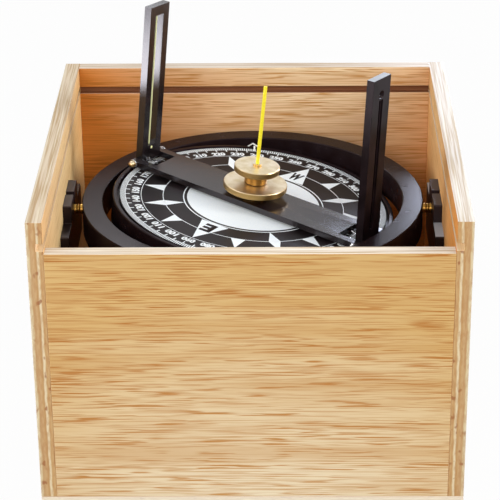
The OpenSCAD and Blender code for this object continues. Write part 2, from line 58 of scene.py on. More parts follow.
# Heights in the bowl's frame, above the pivot axes
RIM_TOP = 4.9 * MM
CARD_TOP = 4.5 * MM
LEDGE = 2.0 * MM

# Case: half its width, its boards' thicknesses, and the lid groove
CASE_HALF = 120 * MM
WALL_T = 9 * MM
BOTTOM_T = 5 * MM
GROOVE_Z = 160 * MM
GROOVE_H = 4.4 * MM

# A turned piece has a point every one and a half degrees
SPIN_STEPS = 240


# Building


def new_piece(name, bm, body, material, place=Matrix.Identity(4), stands_for=()):
    """Makes a piece from a bmesh, with its place in its mesh, and rides it on its body."""
    bm.transform(place)
    bmesh.ops.recalc_face_normals(bm, faces=bm.faces)
    mesh = bpy.data.meshes.new(name)
    bm.to_mesh(mesh)
    bm.free()
    obj = bpy.data.objects.new(name, mesh)
    bpy.context.scene.collection.objects.link(obj)
    mesh.materials.append(material)
    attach(obj, body)
    if stands_for:
        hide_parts(*stands_for)
    return obj


def flat_ends(obj):
    """Keeps a turned piece's flat faces flat, with the shading's bend left to its rounded rims."""
    even = obj.modifiers.new("even", "WEIGHTED_NORMAL")
    even.keep_sharp = True
    even.weight = 90


def smooth_by_angle(bm, degrees):
    """Shades faces smooth, with the edges sharper than the angle left sharp."""
    for face in bm.faces:
        face.smooth = True
    for edge in bm.edges:
        edge.smooth = len(edge.link_faces) < 2 or edge.calc_face_angle() < math.radians(degrees)


def turned(outline, closed=False, rounding=0.0):
    """Turns an outline of (radius, height) points in millimetres about Z, its corners rounded."""
    bm = bmesh.new()
    points = [bm.verts.new((r * MM, 0, z * MM)) for r, z in outline]
    for a, b in zip(points, points[1:]):
        bm.edges.new((a, b))
    if closed:
        bm.edges.new((points[-1], points[0]))
    if rounding:
        corners = [v for v in bm.verts if len(v.link_edges) == 2]
        bmesh.ops.bevel(bm, geom=corners, offset=rounding * MM, segments=3, profile=0.5,
                        affect="VERTICES", material=-1)
    bmesh.ops.spin(bm, geom=bm.verts[:] + bm.edges[:], cent=(0, 0, 0), axis=(0, 0, 1),
                   angle=math.tau, steps=SPIN_STEPS, use_merge=True)
    bmesh.ops.remove_doubles(bm, verts=bm.verts, dist=1e-7)
    bmesh.ops.recalc_face_normals(bm, faces=bm.faces)
    smooth_by_angle(bm, 40)
    return bm


# Materials


def tone(hex_code):
    """Turns an sRGB hex colour to linear RGBA."""
    parts = [int(hex_code[i:i + 2], 16) / 255 for i in (0, 2, 4)]
    return [c / 12.92 if c <= 0.04045 else ((c + 0.055) / 1.055) ** 2.4 for c in parts] + [1.0]


def add(tree, kind, inputs=None, stops=None, **settings):
    """Adds a node with its settings, its colour stops, and its values or links by socket."""
    made = tree.nodes.new(kind)
    for name, value in settings.items():
        setattr(made, name, value)
    for key, value in (inputs or {}).items():
        socket = made.inputs[key]
        if isinstance(value, bpy.types.NodeSocket):
            tree.links.new(value, socket)
        else:
            socket.default_value = value
    if stops:
        bar = made.color_ramp
        while len(bar.elements) < len(stops):
            bar.elements.new(1.0)
        for element, (place, colour) in zip(bar.elements, stops):
            element.position = place
            element.color = tone(colour)
    return made


def new_material(name):
    """An empty material, its node tree and its output node."""
    made = bpy.data.materials.new(name)
    made.use_nodes = True
    made.node_tree.nodes.clear()
    return made, made.node_tree, made.node_tree.nodes.new("ShaderNodeOutputMaterial")


# Plywood. across is the axis through the board, outward its outer side's sign, and grain the axis
# of its grain. The veneer's tone holds painted light and shade: it goes from light to deep with the
# distance from a lit spot, over reach, in millimetres, and calm quiets its streaks inside the case.
# streak is the weight of the finest lines, top the tone of the upper edge, which is painted light,
# and groove the two painted tones of the lid groove.

Board = namedtuple("Board", "across outward grain seed pale_at reach deep light top groove "
                            "streak calm", defaults=(0.55, 0.0))

# How far the streaks bend, and how far the edge of the painted light wanders
DRIFT = 1.6 * MM
PAINTED_LIGHT_WANDER = 60 * MM

# Early wood on the case's outer faces, and late wood in the streaks, each as a shaded and a lit tone
FACE_SHADED = "CDA86C"
FACE_LIT = "E6D8BC"
LATE_SHADED = "A8661E"
LATE_LIT = "BA833C"

# Sawn edges: how the plies wander, their tones through the board, and how far the tops take their
# board's top tone, which is painted light
PLY_WANDER = 1.4 * MM
PLY_TONES = [(0.00, "D6C8AC"), (0.14, "D0BC94"), (0.21, "B99468"), (0.40, "C29E70"),
             (0.56, "B58B58"), (0.64, "DAC8A6"), (0.72, "D8C59F"), (0.79, "BC9360"),
             (0.95, "C29E6E"), (1.00, "9E7244")]
KNOT = "8A4A26"
PORES = "A87646"
TOP_PAINTED_LIGHT = 0.75


def facing(tree, axis, limit):
    """One where the surface looks along an axis, either way, by more than a limit."""
    normal = add(tree, "ShaderNodeTexCoord").outputs["Normal"]
    along = add(tree, "ShaderNodeSeparateXYZ", {0: normal}).outputs[axis]
    along = add(tree, "ShaderNodeMath", {0: along}, operation="ABSOLUTE").outputs[0]
    return add(tree, "ShaderNodeMath", {0: along, 1: limit}, operation="GREATER_THAN").outputs[0]


def outside(tree, board):
    """One on the board's outer face."""
    normal = add(tree, "ShaderNodeTexCoord").outputs["Normal"]
    along = add(tree, "ShaderNodeSeparateXYZ", {0: normal}).outputs[board.across]
    along = add(tree, "ShaderNodeMath", {0: along, 1: board.outward},
                operation="MULTIPLY").outputs[0]
    return add(tree, "ShaderNodeMath", {0: along, 1: 0.0}, operation="GREATER_THAN").outputs[0]


def drifted(tree, board, place):
    """The place shifted to and fro, so that streaks bend a millimetre over a hand's width."""
    scale = [1 / (18 * MM)] * 3
    scale[board.grain] = 1 / (90 * MM)
    at = add(tree, "ShaderNodeMapping", {"Vector": place, "Scale": scale,
                                         "Location": (board.seed, board.seed * 0.7, 3.1)})
    noise = add(tree, "ShaderNodeTexNoise", {"Vector": at.outputs[0], "Scale": 1.0,
                                             "Detail": 2.0}).outputs["Color"]
    shift = add(tree, "ShaderNodeVectorMath", {0: noise, 1: (0.5, 0.5, 0.5)},
                operation="SUBTRACT").outputs[0]
    shift = add(tree, "ShaderNodeVectorMath", {0: shift, "Scale": DRIFT},
                operation="SCALE").outputs[0]
    return add(tree, "ShaderNodeVectorMath", {0: place, 1: shift}).outputs[0]


def streaks(tree, board, at, long_mm, wide_mm, shift, detail=1.0):
    """Noise drawn out along the board's grain."""
    scale = [1 / (wide_mm * MM)] * 3
    scale[board.grain] = 1 / (long_mm * MM)
    drawn = add(tree, "ShaderNodeMapping", {"Vector": at, "Scale": scale, "Location": (
        shift, board.seed + shift, shift * 2)})
    return add(tree, "ShaderNodeTexNoise", {"Vector": drawn.outputs[0], "Scale": 1.0,
                                            "Detail": detail, "Roughness": 0.55}).outputs["Fac"]


def spots(tree, board, place, across_mm, along_mm, shift, detail=1.0):
    """Noise for the sawn edges, pressed flat in the plies."""
    scale = [1 / (along_mm * MM)] * 3
    scale[board.across] = 1 / (across_mm * MM)
    at = add(tree, "ShaderNodeMapping", {"Vector": place, "Scale": scale,
                                         "Location": (board.seed, shift, board.seed)})
    return add(tree, "ShaderNodeTexNoise", {"Vector": at.outputs[0], "Scale": 1.0,
                                            "Detail": detail}).outputs["Fac"]


def early_wood(tree, board, place, outer, bands):
    """Painted light and shade on the veneer, from nought in shade to one where lit, and the
    veneer's colour between the streaks.
    """
    centre = tuple(c * MM for c in board.pale_at)
    far = add(tree, "ShaderNodeVectorMath", {0: place, 1: centre},
              operation="DISTANCE").outputs["Value"]
    far = add(tree, "ShaderNodeMath", {0: bands, 1: PAINTED_LIGHT_WANDER, 2: far},
              operation="MULTIPLY_ADD").outputs[0]
    painted_light = add(tree, "ShaderNodeMapRange", {
        "Value": far, "From Min": board.reach[0] * MM, "From Max": board.reach[1] * MM,
        "To Min": 1.0, "To Max": 0.0}).outputs[0]
    deep = add(tree, "ShaderNodeMix", {"Factor": outer, "A": tone(board.deep),
                                       "B": tone(FACE_SHADED)}, data_type="RGBA")
    light = add(tree, "ShaderNodeMix", {"Factor": outer, "A": tone(board.light),
                                        "B": tone(FACE_LIT)}, data_type="RGBA")
    early = add(tree, "ShaderNodeMix", {"Factor": painted_light, "A": deep.outputs["Result"],
                                        "B": light.outputs["Result"]}, data_type="RGBA")
    return painted_light, early.outputs["Result"]


def late_wood(tree, board, bent, outer, bands, lines, hairs):
    """How strongly the streaks show: crisp ones in clusters, fine hairs and broad soft bands."""
    crisp = add(tree, "ShaderNodeMapRange", {"Value": lines, "From Min": 0.51,
                                             "From Max": 0.60}).outputs[0]
    clusters = streaks(tree, board, bent, 45, 4.5, 14.9)
    clusters = add(tree, "ShaderNodeMapRange", {"Value": clusters, "From Min": 0.34,
                                                "From Max": 0.58, "To Min": 0.15,
                                                "To Max": 0.9}).outputs[0]
    crisp = add(tree, "ShaderNodeMath", {0: crisp, 1: clusters}, operation="MULTIPLY").outputs[0]
    fine = add(tree, "ShaderNodeMapRange", {"Value": hairs, "From Min": 0.52, "From Max": 0.65,
                                            "To Max": board.streak}).outputs[0]
    broad = add(tree, "ShaderNodeMapRange", {"Value": bands, "From Min": 0.5, "From Max": 0.72,
                                             "To Max": 0.3}).outputs[0]
    dark = add(tree, "ShaderNodeMath", {0: crisp, 1: fine}, operation="MAXIMUM").outputs[0]
    dark = add(tree, "ShaderNodeMath", {0: dark, 1: broad}, operation="MAXIMUM").outputs[0]
    inner = add(tree, "ShaderNodeMath", {0: 1.0, 1: outer}, operation="SUBTRACT").outputs[0]
    quiet = add(tree, "ShaderNodeMath", {0: inner, 1: -board.calm, 2: 1.0},
                operation="MULTIPLY_ADD").outputs[0]
    return add(tree, "ShaderNodeMath", {0: dark, 1: quiet}, operation="MULTIPLY").outputs[0]


def sawn_edges(tree, board, place, bent, depth, thickness):
    """Five plies with small brown knots and pores, and the planed upper edges with painted light."""
    wander = spots(tree, board, place, 6, 9, 4.2, 2.0)
    layer = add(tree, "ShaderNodeMath", {0: wander, 1: PLY_WANDER, 2: depth},
                operation="MULTIPLY_ADD").outputs[0]
    layer = add(tree, "ShaderNodeMath", {0: layer, 1: thickness}, operation="DIVIDE").outputs[0]
    layer = add(tree, "ShaderNodeMath", {0: layer, 1: PLY_WANDER / 2 / thickness},
                operation="SUBTRACT").outputs[0]
    plies = add(tree, "ShaderNodeValToRGB", {"Fac": layer}, stops=PLY_TONES).outputs[0]

    knots = add(tree, "ShaderNodeMapRange", {
        "Value": spots(tree, board, place, 3.2, 6, 8.8), "From Min": 0.66, "From Max": 0.74,
        "To Max": 0.75}).outputs[0]
    ends = add(tree, "ShaderNodeMix", {"Factor": knots, "A": plies, "B": tone(KNOT)},
               data_type="RGBA").outputs["Result"]
    pores = add(tree, "ShaderNodeMapRange", {
        "Value": spots(tree, board, place, 1.2, 5, 12.6, 2.0), "From Min": 0.42,
        "From Max": 0.62, "To Max": 0.4}).outputs[0]
    ends = add(tree, "ShaderNodeMix", {"Factor": pores, "A": ends, "B": tone(PORES)},
               data_type="RGBA").outputs["Result"]
    if board.across == Z:
        ends = add(tree, "ShaderNodeMix", {"Factor": 0.65, "A": ends, "B": tone(board.light)},
                   data_type="RGBA").outputs["Result"]

    planed = add(tree, "ShaderNodeValToRGB", {"Fac": streaks(tree, board, bent, 70, 1.1, 21.0, 2.0)},
                 stops=[(0.38, "D6C4AA"), (0.58, "FFFFFF")]).outputs[0]
    # Painted light: the upper edges are mixed toward each board's top tone, whiter where the light
    # falls
    tops = add(tree, "ShaderNodeMix", {"Factor": TOP_PAINTED_LIGHT, "A": plies, "B": tone(board.top)},
               data_type="RGBA").outputs["Result"]
    tops = add(tree, "ShaderNodeMix", {"Factor": 1.0, "A": tops, "B": planed},
               data_type="RGBA", blend_type="MULTIPLY").outputs["Result"]
    return add(tree, "ShaderNodeMix", {"Factor": facing(tree, Z, 0.6), "A": ends, "B": tops},
               data_type="RGBA").outputs["Result"]


def in_groove(tree, board, depth, height, thickness):
    """One on the lid groove's floor and on both of its cheeks."""
    in_depth = add(tree, "ShaderNodeMath", {0: depth, 1: thickness / 2,
                                            2: thickness / 2 - 0.3 * MM},
                   operation="COMPARE").outputs[0]
    in_height = add(tree, "ShaderNodeMath", {0: height, 1: GROOVE_Z + GROOVE_H / 2,
                                             2: GROOVE_H / 2 + 0.1 * MM},
                    operation="COMPARE").outputs[0]
    off_end = add(tree, "ShaderNodeMath", {0: 1.0, 1: facing(tree, board.grain, 0.5)},
                  operation="SUBTRACT").outputs[0]
    both = add(tree, "ShaderNodeMath", {0: in_depth, 1: in_height},
               operation="MULTIPLY").outputs[0]
    return add(tree, "ShaderNodeMath", {0: both, 1: off_end}, operation="MULTIPLY").outputs[0]


def plywood(name, board):
    """Oiled pine plywood: crisp fine streaks on the face veneers, soft plies on the sawn edges."""
    material, tree, out = new_material(name)
    place = add(tree, "ShaderNodeTexCoord").outputs["Object"]
    split = add(tree, "ShaderNodeSeparateXYZ", {0: place})
    bent = drifted(tree, board, place)
    bands = streaks(tree, board, bent, 190, 11, 1.7, 2.0)
    lines = streaks(tree, board, bent, 28, 0.8, 9.1)
    hairs = streaks(tree, board, bent, 50, 0.6, 5.3)

    outer = outside(tree, board)
    # Painted light and shade: the veneer is paler near the board's lit spot and deeper away from it
    painted_light, early = early_wood(tree, board, place, outer, bands)
    late = add(tree, "ShaderNodeMix", {"Factor": painted_light, "A": tone(LATE_SHADED),
                                       "B": tone(LATE_LIT)}, data_type="RGBA")
    dark = late_wood(tree, board, bent, outer, bands, lines, hairs)
    veneer = add(tree, "ShaderNodeMix", {"Factor": dark, "A": early, "B": late.outputs["Result"]},
                 data_type="RGBA").outputs["Result"]

    # The bottom's depth is its height, and a wall's is measured in from the case's outside
    if board.across == Z:
        thickness = BOTTOM_T
        depth = split.outputs[Z]
    else:
        thickness = WALL_T
        depth = add(tree, "ShaderNodeMath", {0: split.outputs[board.across],
                                             1: -board.outward, 2: CASE_HALF},
                    operation="MULTIPLY_ADD").outputs[0]
    sawn = sawn_edges(tree, board, place, bent, depth, thickness)
    colour = add(tree, "ShaderNodeMix", {"Factor": facing(tree, board.across, 0.6), "A": sawn,
                                         "B": veneer}, data_type="RGBA").outputs["Result"]
    # Painted shade and light in the lid groove: its floor and cheeks take the groove's painted tones
    groove_painted_tone = add(tree, "ShaderNodeMix", {"Factor": hairs, "A": tone(board.groove[0]),
                                       "B": tone(board.groove[1])},
               data_type="RGBA").outputs["Result"]
    groove = in_groove(tree, board, depth, split.outputs[Z], thickness)
    colour = add(tree, "ShaderNodeMix", {"Factor": groove, "A": colour, "B": groove_painted_tone},
                 data_type="RGBA").outputs["Result"]

    # The planed tops are rougher than the sanded faces
    rough = add(tree, "ShaderNodeMath", {0: facing(tree, Z, 0.6), 1: 0.13, 2: 0.6},
                operation="MULTIPLY_ADD").outputs[0]
    relief = add(tree, "ShaderNodeBump", {"Height": lines, "Strength": 0.3,
                                          "Distance": 0.12 * MM})
    shade = add(tree, "ShaderNodeBsdfPrincipled", {
        "Base Color": colour, "Roughness": rough, "IOR": 1.36, "Normal": relief.outputs[0]})
    tree.links.new(shade.outputs[0], out.inputs[0])
    return material


# Black finishes: what dust lightens them to, and the pale grey of a painted metal sheen
DUST = "22191C"
METAL_SHEEN_GREY = "A9ADB4"


def painted_metal_sheen(tree, coat, place, band):
    """The coat's colour, with a pale grey painted highlight on upward faces between two heights."""
    normal = add(tree, "ShaderNodeTexCoord").outputs["Normal"]
    upward = add(tree, "ShaderNodeSeparateXYZ", {0: normal}).outputs[Z]
    upward = add(tree, "ShaderNodeMath", {0: upward, 1: 0.9}, operation="GREATER_THAN").outputs[0]
    height = add(tree, "ShaderNodeSeparateXYZ", {0: place}).outputs[Z]
    within = add(tree, "ShaderNodeMath", {0: height, 1: (band[0] + band[1]) / 2,
                                          2: (band[1] - band[0]) / 2},
                 operation="COMPARE").outputs[0]
    sheen_mask = add(tree, "ShaderNodeMath", {0: upward, 1: within}, operation="MULTIPLY").outputs[0]
    return add(tree, "ShaderNodeMix", {"Factor": sheen_mask, "A": coat, "B": tone(METAL_SHEEN_GREY)},
               data_type="RGBA").outputs["Result"]


def satin_black(name, base, sheen, roughness, grit_mm, cloud_mm, ior, sheen_heights=None):
    """Black enamel or anodising with a tinted sheen, a fine orange-peel and some dust, and a
    painted highlight of pale grey on upward faces between two heights, when they are given."""
    material, tree, out = new_material(name)
    place = add(tree, "ShaderNodeTexCoord").outputs["Object"]
    peel = add(tree, "ShaderNodeTexNoise", {"Vector": place, "Scale": 1 / (grit_mm * MM),
                                            "Detail": 2.0}).outputs["Fac"]
    cloud = add(tree, "ShaderNodeTexNoise", {"Vector": place, "Scale": 1 / (cloud_mm * MM),
                                             "Detail": 3.0}).outputs["Fac"]
    colour = add(tree, "ShaderNodeValToRGB", {"Fac": cloud}, stops=[
        (0.35, base), (0.75, DUST)]).outputs[0]
    if sheen_heights:
        colour = painted_metal_sheen(tree, colour, place, sheen_heights)
    rough = add(tree, "ShaderNodeMapRange", {"Value": cloud, "From Min": 0.3, "From Max": 0.7,
                                             "To Min": roughness - 0.01,
                                             "To Max": roughness + 0.015}).outputs[0]
    relief = add(tree, "ShaderNodeBump", {"Height": peel, "Strength": 0.06,
                                          "Distance": 0.05 * MM})
    shade = add(tree, "ShaderNodeBsdfPrincipled", {
        "Base Color": colour, "Roughness": rough, "IOR": ior, "Specular Tint": tone(sheen),
        "Normal": relief.outputs[0]})
    tree.links.new(shade.outputs[0], out.inputs[0])
    return material


def turned_metal(name, light, dark, shaded_side, roughness, line_mm):
    """Metal from the lathe or drawn as wire: slightly dulled, with painted shade making its sides
    deeper than its ends.
    """
    material, tree, out = new_material(name)
    place = add(tree, "ShaderNodeTexCoord").outputs["Object"]
    cloud = add(tree, "ShaderNodeTexNoise", {"Vector": place, "Scale": 1 / (6 * MM),
                                             "Detail": 4.0}).outputs["Fac"]
    lines = add(tree, "ShaderNodeTexNoise", {"Vector": place, "Scale": 1 / (line_mm * MM),
                                             "Detail": 2.0}).outputs["Fac"]
    flat = add(tree, "ShaderNodeValToRGB", {"Fac": cloud}, stops=[
        (0.35, dark), (0.62, light)]).outputs[0]
    normal = add(tree, "ShaderNodeTexCoord").outputs["Normal"]
    upward = add(tree, "ShaderNodeSeparateXYZ", {0: normal}).outputs[Z]
    # Painted shade: the sides and undersides take the deeper tone, and the upward faces the pale one
    colour = add(tree, "ShaderNodeMix", {"Factor": upward, "A": tone(shaded_side), "B": flat},
                 data_type="RGBA").outputs["Result"]
    rough = add(tree, "ShaderNodeMapRange", {"Value": cloud, "From Min": 0.3, "From Max": 0.7,
                                             "To Min": roughness + 0.04,
                                             "To Max": roughness - 0.04}).outputs[0]
    relief = add(tree, "ShaderNodeBump", {"Height": lines, "Strength": 0.05,
                                          "Distance": 0.02 * MM})
    shade = add(tree, "ShaderNodeBsdfPrincipled", {
        "Base Color": colour, "Metallic": 1.0, "Roughness": rough, "Normal": relief.outputs[0]})
    tree.links.new(shade.outputs[0], out.inputs[0])
    return material


def even_finish(name, light, dark, roughness, grit_mm, relief_mm):
    """Ink, paint, waxed thread or lacquer: one colour with a faint mottle and a fine relief."""
    material, tree, out = new_material(name)
    place = add(tree, "ShaderNodeTexCoord").outputs["Object"]
    grit = add(tree, "ShaderNodeTexNoise", {"Vector": place, "Scale": 1 / (grit_mm * MM),
                                            "Detail": 3.0}).outputs["Fac"]
    colour = add(tree, "ShaderNodeValToRGB", {"Fac": grit}, stops=[
        (0.3, dark), (0.6, light)]).outputs[0]
    relief = add(tree, "ShaderNodeBump", {"Height": grit, "Strength": 0.2,
                                          "Distance": relief_mm * MM})
    shade = add(tree, "ShaderNodeBsdfPrincipled", {
        "Base Color": colour, "Roughness": roughness, "Normal": relief.outputs[0]})
    tree.links.new(shade.outputs[0], out.inputs[0])
    return material


# The groove bares an inner ply, its tone painted: dark brown shade along the back, pale painted
# light along the sides
SHADED_GROOVE = ("5A2814", "A06A44")
LIT_GROOVE = ("D6AE7A", "F2DDB8")

# Pine-faced plywood, sanded and oiled: warm, matt, with a fine grain that can just be felt
# Painted light and shade: each board's deep and light tones are its shaded and lit ends, and its top
# tone is painted light on the upper edge, whitest on the right wall
left_ply = plywood("plywood_left_wall", Board(
    across=X, outward=-1, grain=Y, seed=2.0, pale_at=(-120, 0, 100), reach=(60, 280),
    deep="E2A052", light="F3D49C", top="D9CCB7", groove=LIT_GROOVE, calm=0.6))
right_ply = plywood("plywood_right_wall", Board(
    across=X, outward=1, grain=Y, seed=7.0, pale_at=(120, 60, 230), reach=(40, 200),
    deep="E89A4C", light="F0D09A", top="E8E6E0", groove=LIT_GROOVE, calm=0.6))
front_ply = plywood("plywood_front_wall", Board(
    across=Y, outward=-1, grain=X, seed=11.0, pale_at=(0, -120, -60), reach=(70, 230),
    deep="CDA86C", light="E6D8BC", top="EEE8DC", groove=SHADED_GROOVE))
back_ply = plywood("plywood_back_wall", Board(
    across=Y, outward=1, grain=X, seed=16.0, pale_at=(35, 120, 205), reach=(45, 180),
    deep="C97A30", light="F2DCB6", top="E0D8CE", groove=SHADED_GROOVE, streak=0.6))
bottom_ply = plywood("plywood_bottom", Board(
    across=Z, outward=-1, grain=X, seed=21.0, pale_at=(0, 0, 0), reach=(70, 230),
    deep="CBA56C", light="F0E8D8", top="DCC8A6", groove=SHADED_GROOVE))

# Heights of the painted highlight: the right bracket's ledge, and the slit vane's top, a bare metal
# edge whose reflection is painted as pale grey
BRACKET_LEDGE = (PIVOT_Z - 1 * MM, PIVOT_Z)
VANE_TOP = (200 * MM, 300 * MM)

# Stoved enamel on brass and steel: satin, deep black with a warm cast
enamel = satin_black("satin_black_enamel", "1A0F10", "EED4D0", 0.26, 0.35, 9.0, 1.21)
# Dyed anodising: the oxide bends light more than paint, so it shines more
anodised = satin_black("black_anodised_aluminium", "0E090B", "F4F0F4", 0.23, 0.25, 12.0, 1.62)
# The slit vane's coat is duller, so that it stays dark beside the pale floor; its top takes the
# painted highlight
dull_black = satin_black("dull_black_anodising", "0F090A", "F0DCE0", 0.3, 0.25, 12.0, 1.19,
                         VANE_TOP)
# Brackets: the same enamel, worn rougher, with a painted highlight of pale grey on the right one's
# ledge
worn_enamel = satin_black("worn_black_enamel", "120B0C", "EED8D6", 0.36, 0.35, 9.0, 1.45)
ledge_sheen_enamel = satin_black("black_enamel_ledge_sheen", "140D0E", "EEDCE0", 0.36, 0.35, 9.0, 1.5,
                            BRACKET_LEDGE)
# Card stock coated black: nearly matt, so that the print stands out
card_black = satin_black("matt_black_card", "120E0F", "F4EEF0", 0.4, 0.3, 15.0, 1.25)
# Turned brass, pale under a thin lacquer, satin from fine emery
brass = turned_metal("turned_brass", "E2D5BC", "CFBD97", "C6A264", 0.36, 0.4)
# The knob's neck between the discs: a deeper, browner copy of the brass, painted shade
shaded_neck_brass = turned_metal("brass_neck_painted_shade", "B98A4A", "8A6234", "8E6A38", 0.36, 0.4)
# Pivot screws of drawn brass: bare, deeper yellow and a little shinier
dull_brass = turned_metal("drawn_brass", "C9A050", "9A6E30", "A87C3C", 0.3, 0.4)
# Drawn spring wire and screws: bright, with soft-edged highlights
steel = turned_metal("bright_steel_wire", "E6E6E8", "C9CACE", "D6D6DA", 0.22, 0.3)
# The ballast as it was cast: dark, grainy and dull
iron = turned_metal("cast_iron", "5A5A5C", "3E3E40", "4C4C4E", 0.6, 0.8)
# Screen-printed ink: a cool white without a shine
card_white = even_finish("white_card_ink", "F8FDFF", "ECF5FD", 0.55, 0.5, 0.01)
# Brushed enamel on the lubber pointer: white with a low gloss
lubber_white = even_finish("white_enamel", "F6F6F4", "E6E6E2", 0.35, 0.6, 0.02)
# Waxed linen thread: dull, greenish straw
thread_yellow = even_finish("pale_waxed_thread", "ECEDB8", "D3D494", 0.6, 0.25, 0.08)
# Lacquered pin: bright yellow, smooth
pin_yellow = even_finish("bright_yellow_lacquer", "F8EA3C", "ECD924", 0.32, 0.8, 0.01)


# Finishes on the frame's own solids

MATERIALS = {
    "left_panel": left_ply, "right_panel": right_ply, "front_panel": front_ply,
    "back_panel": back_ply, "bottom_panel": bottom_ply,
    "left_bracket": worn_enamel, "right_bracket": ledge_sheen_enamel, "bracket_screws": steel,
    "gimbal_ring": enamel, "ring_pivot_pins": dull_brass, "bowl_pivot_screws": dull_brass,
    "bowl": enamel, "ballast_weight": iron, "spindle": brass, "spindle_nut": brass,
    "lubber_pointer": lubber_white, "compass_card": card_black, "card_hub": brass,
    "sight_arm": anodised, "arm_bush": brass, "arm_washer": enamel,
    "thread_hinge_pin": brass, "slit_hinge_pin": steel, "hinge_washers": steel,
    "thread_vane_spring": steel, "slit_vane_spring": steel,
    "thread_vane": anodised, "sight_thread": thread_yellow, "slit_vane": dull_black,
    "lower_clamp_knob": brass, "upper_clamp_knob": brass, "shadow_pin": pin_yellow,
}
for node_name, material in MATERIALS.items():
    nodes[node_name].data.materials.clear()
    nodes[node_name].data.materials.append(material)

# Broken edges on the flat-sided solids: merged, cleared of spare edges, then bevelled
EDGE_BREAK = {
    "left_panel": 0.35, "right_panel": 0.35, "front_panel": 0.35, "back_panel": 0.35,
    "bottom_panel": 0.35, "left_bracket": 0.3, "right_bracket": 0.3, "sight_arm": 0.2,
    "thread_vane": 0.2, "slit_vane": 0.2,
}
for node_name, width in EDGE_BREAK.items():
    solid = nodes[node_name]
    weld = solid.modifiers.new("weld", "WELD")
    weld.merge_threshold = 0.001 * MM
    flat = solid.modifiers.new("flat", "DECIMATE")
    flat.decimate_type = "DISSOLVE"
    flat.angle_limit = math.radians(1)
    bevel = solid.modifiers.new("bevel", "BEVEL")
    bevel.width = width * MM
    bevel.segments = 2
    bevel.limit_method = "ANGLE"
    bevel.angle_limit = math.radians(40)


# Gimbal ring

RING_W = 12.2
ring_low, ring_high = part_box("gimbal_ring")
ring_outer = ring_high.x / MM
ring_inner = ring_outer - RING_W
ring_foot, ring_top = ring_low.z / MM, ring_high.z / MM
ring = turned([(ring_inner, ring_foot), (ring_outer, ring_foot), (ring_outer, ring_top),
               (ring_inner, ring_top)], closed=True, rounding=0.7)
flat_ends(new_piece("ring_turned", ring, "ring", enamel,
                    stands_for=["gimbal_ring"]))


# Bowl: a round-bottomed pan with a belt for the pivots and a ledge under the card

RIM_R = 83.5
BALL_R = 86.05
SHELL_T = 2.5
FLOOR = -42.0
LIP_W = 2.6
LEDGE_W = 7.5
LEDGE_FOOT = -8


def arc(radius, z_from, z_to, count):
    """Points on a ball's meridian between two heights."""
    heights = [z_from + (z_to - z_from) * i / count for i in range(count + 1)]
    return [(math.sqrt(radius * radius - z * z), z) for z in heights]


rim_top = RIM_TOP / MM
ball_join = -math.sqrt(BALL_R ** 2 - RIM_R ** 2)
inner_ball_r = BALL_R - SHELL_T
inner_join = -math.sqrt(inner_ball_r ** 2 - (RIM_R - SHELL_T) ** 2)
outer_side = [(0, FLOOR)] + arc(BALL_R, FLOOR, ball_join, 12)
lip = [(RIM_R, rim_top - 0.5), (RIM_R - 0.5, rim_top), (RIM_R - LIP_W + 0.4, rim_top),
       (RIM_R - LIP_W, rim_top - 0.4)]
ledge = [(RIM_R - LIP_W, LEDGE / MM), (RIM_R - LEDGE_W, LEDGE / MM),
         (RIM_R - LEDGE_W, LEDGE_FOOT), (RIM_R - SHELL_T, LEDGE_FOOT)]
inner_side = arc(inner_ball_r, inner_join, FLOOR + SHELL_T, 12) + [(0, FLOOR + SHELL_T)]
flat_ends(new_piece("bowl_turned", turned(outer_side + lip + ledge + inner_side), "bowl", enamel,
                    IN_BOWL, ["bowl"]))


# Clamp knobs: each disc's rim, then what carries it

LOWER_R, LOWER_FOOT, LOWER_TOP = 18.9, 13.7, 17.4
UPPER_R, UPPER_FOOT, UPPER_TOP = 13.5, 24.5, 28.3
BOSS_R, BOSS_FOOT = 8.0, 10.7
NECK_R, NECK_FOOT = 6.8, 17.6
SLEEVE_R, SLEEVE_FOOT = 5.5, 5.2
SPINDLE_BORE_R, SLEEVE_BORE_R = 2.7, 5.55
RIM_BREAK = 0.4
KNURL_DEPTH = 0.12 * MM


def disc_rim(radius, foot, top):
    """A disc's outline from below to above, its corners broken."""
    return [(radius - RIM_BREAK, foot), (radius, foot + RIM_BREAK), (radius, top - RIM_BREAK),
            (radius - RIM_BREAK, top)]


def knurl(bm, radius):
    """Pushes every other row of a turned disc's edge in, for a fine straight knurl."""
    for vert in bm.verts:
        r = math.hypot(vert.co.x, vert.co.y)
        if r > (radius - 0.05) * MM:
            row = round(math.atan2(vert.co.y, vert.co.x) / math.tau * SPIN_STEPS)
            if row % 2:
                vert.co.x *= 1 - KNURL_DEPTH / r
                vert.co.y *= 1 - KNURL_DEPTH / r


lower = turned([(SLEEVE_BORE_R, BOSS_FOOT), (BOSS_R - 0.3, BOSS_FOOT), (BOSS_R, BOSS_FOOT + 0.3),
                (BOSS_R, LOWER_FOOT)] + disc_rim(LOWER_R, LOWER_FOOT, LOWER_TOP)
               + [(SLEEVE_BORE_R, LOWER_TOP)], closed=True)
knurl(lower, LOWER_R)
flat_ends(new_piece("lower_knob_turned", lower, "lower_knob", brass, IN_BOWL,
                    ["lower_clamp_knob"]))

upper = turned([(SPINDLE_BORE_R, SLEEVE_FOOT), (SLEEVE_R, SLEEVE_FOOT), (SLEEVE_R, NECK_FOOT),
                (NECK_R - 0.25, NECK_FOOT), (NECK_R, NECK_FOOT + 0.25), (NECK_R, UPPER_FOOT)]
               + disc_rim(UPPER_R, UPPER_FOOT, UPPER_TOP) + [(SPINDLE_BORE_R, UPPER_TOP)],
               closed=True)
knurl(upper, UPPER_R)
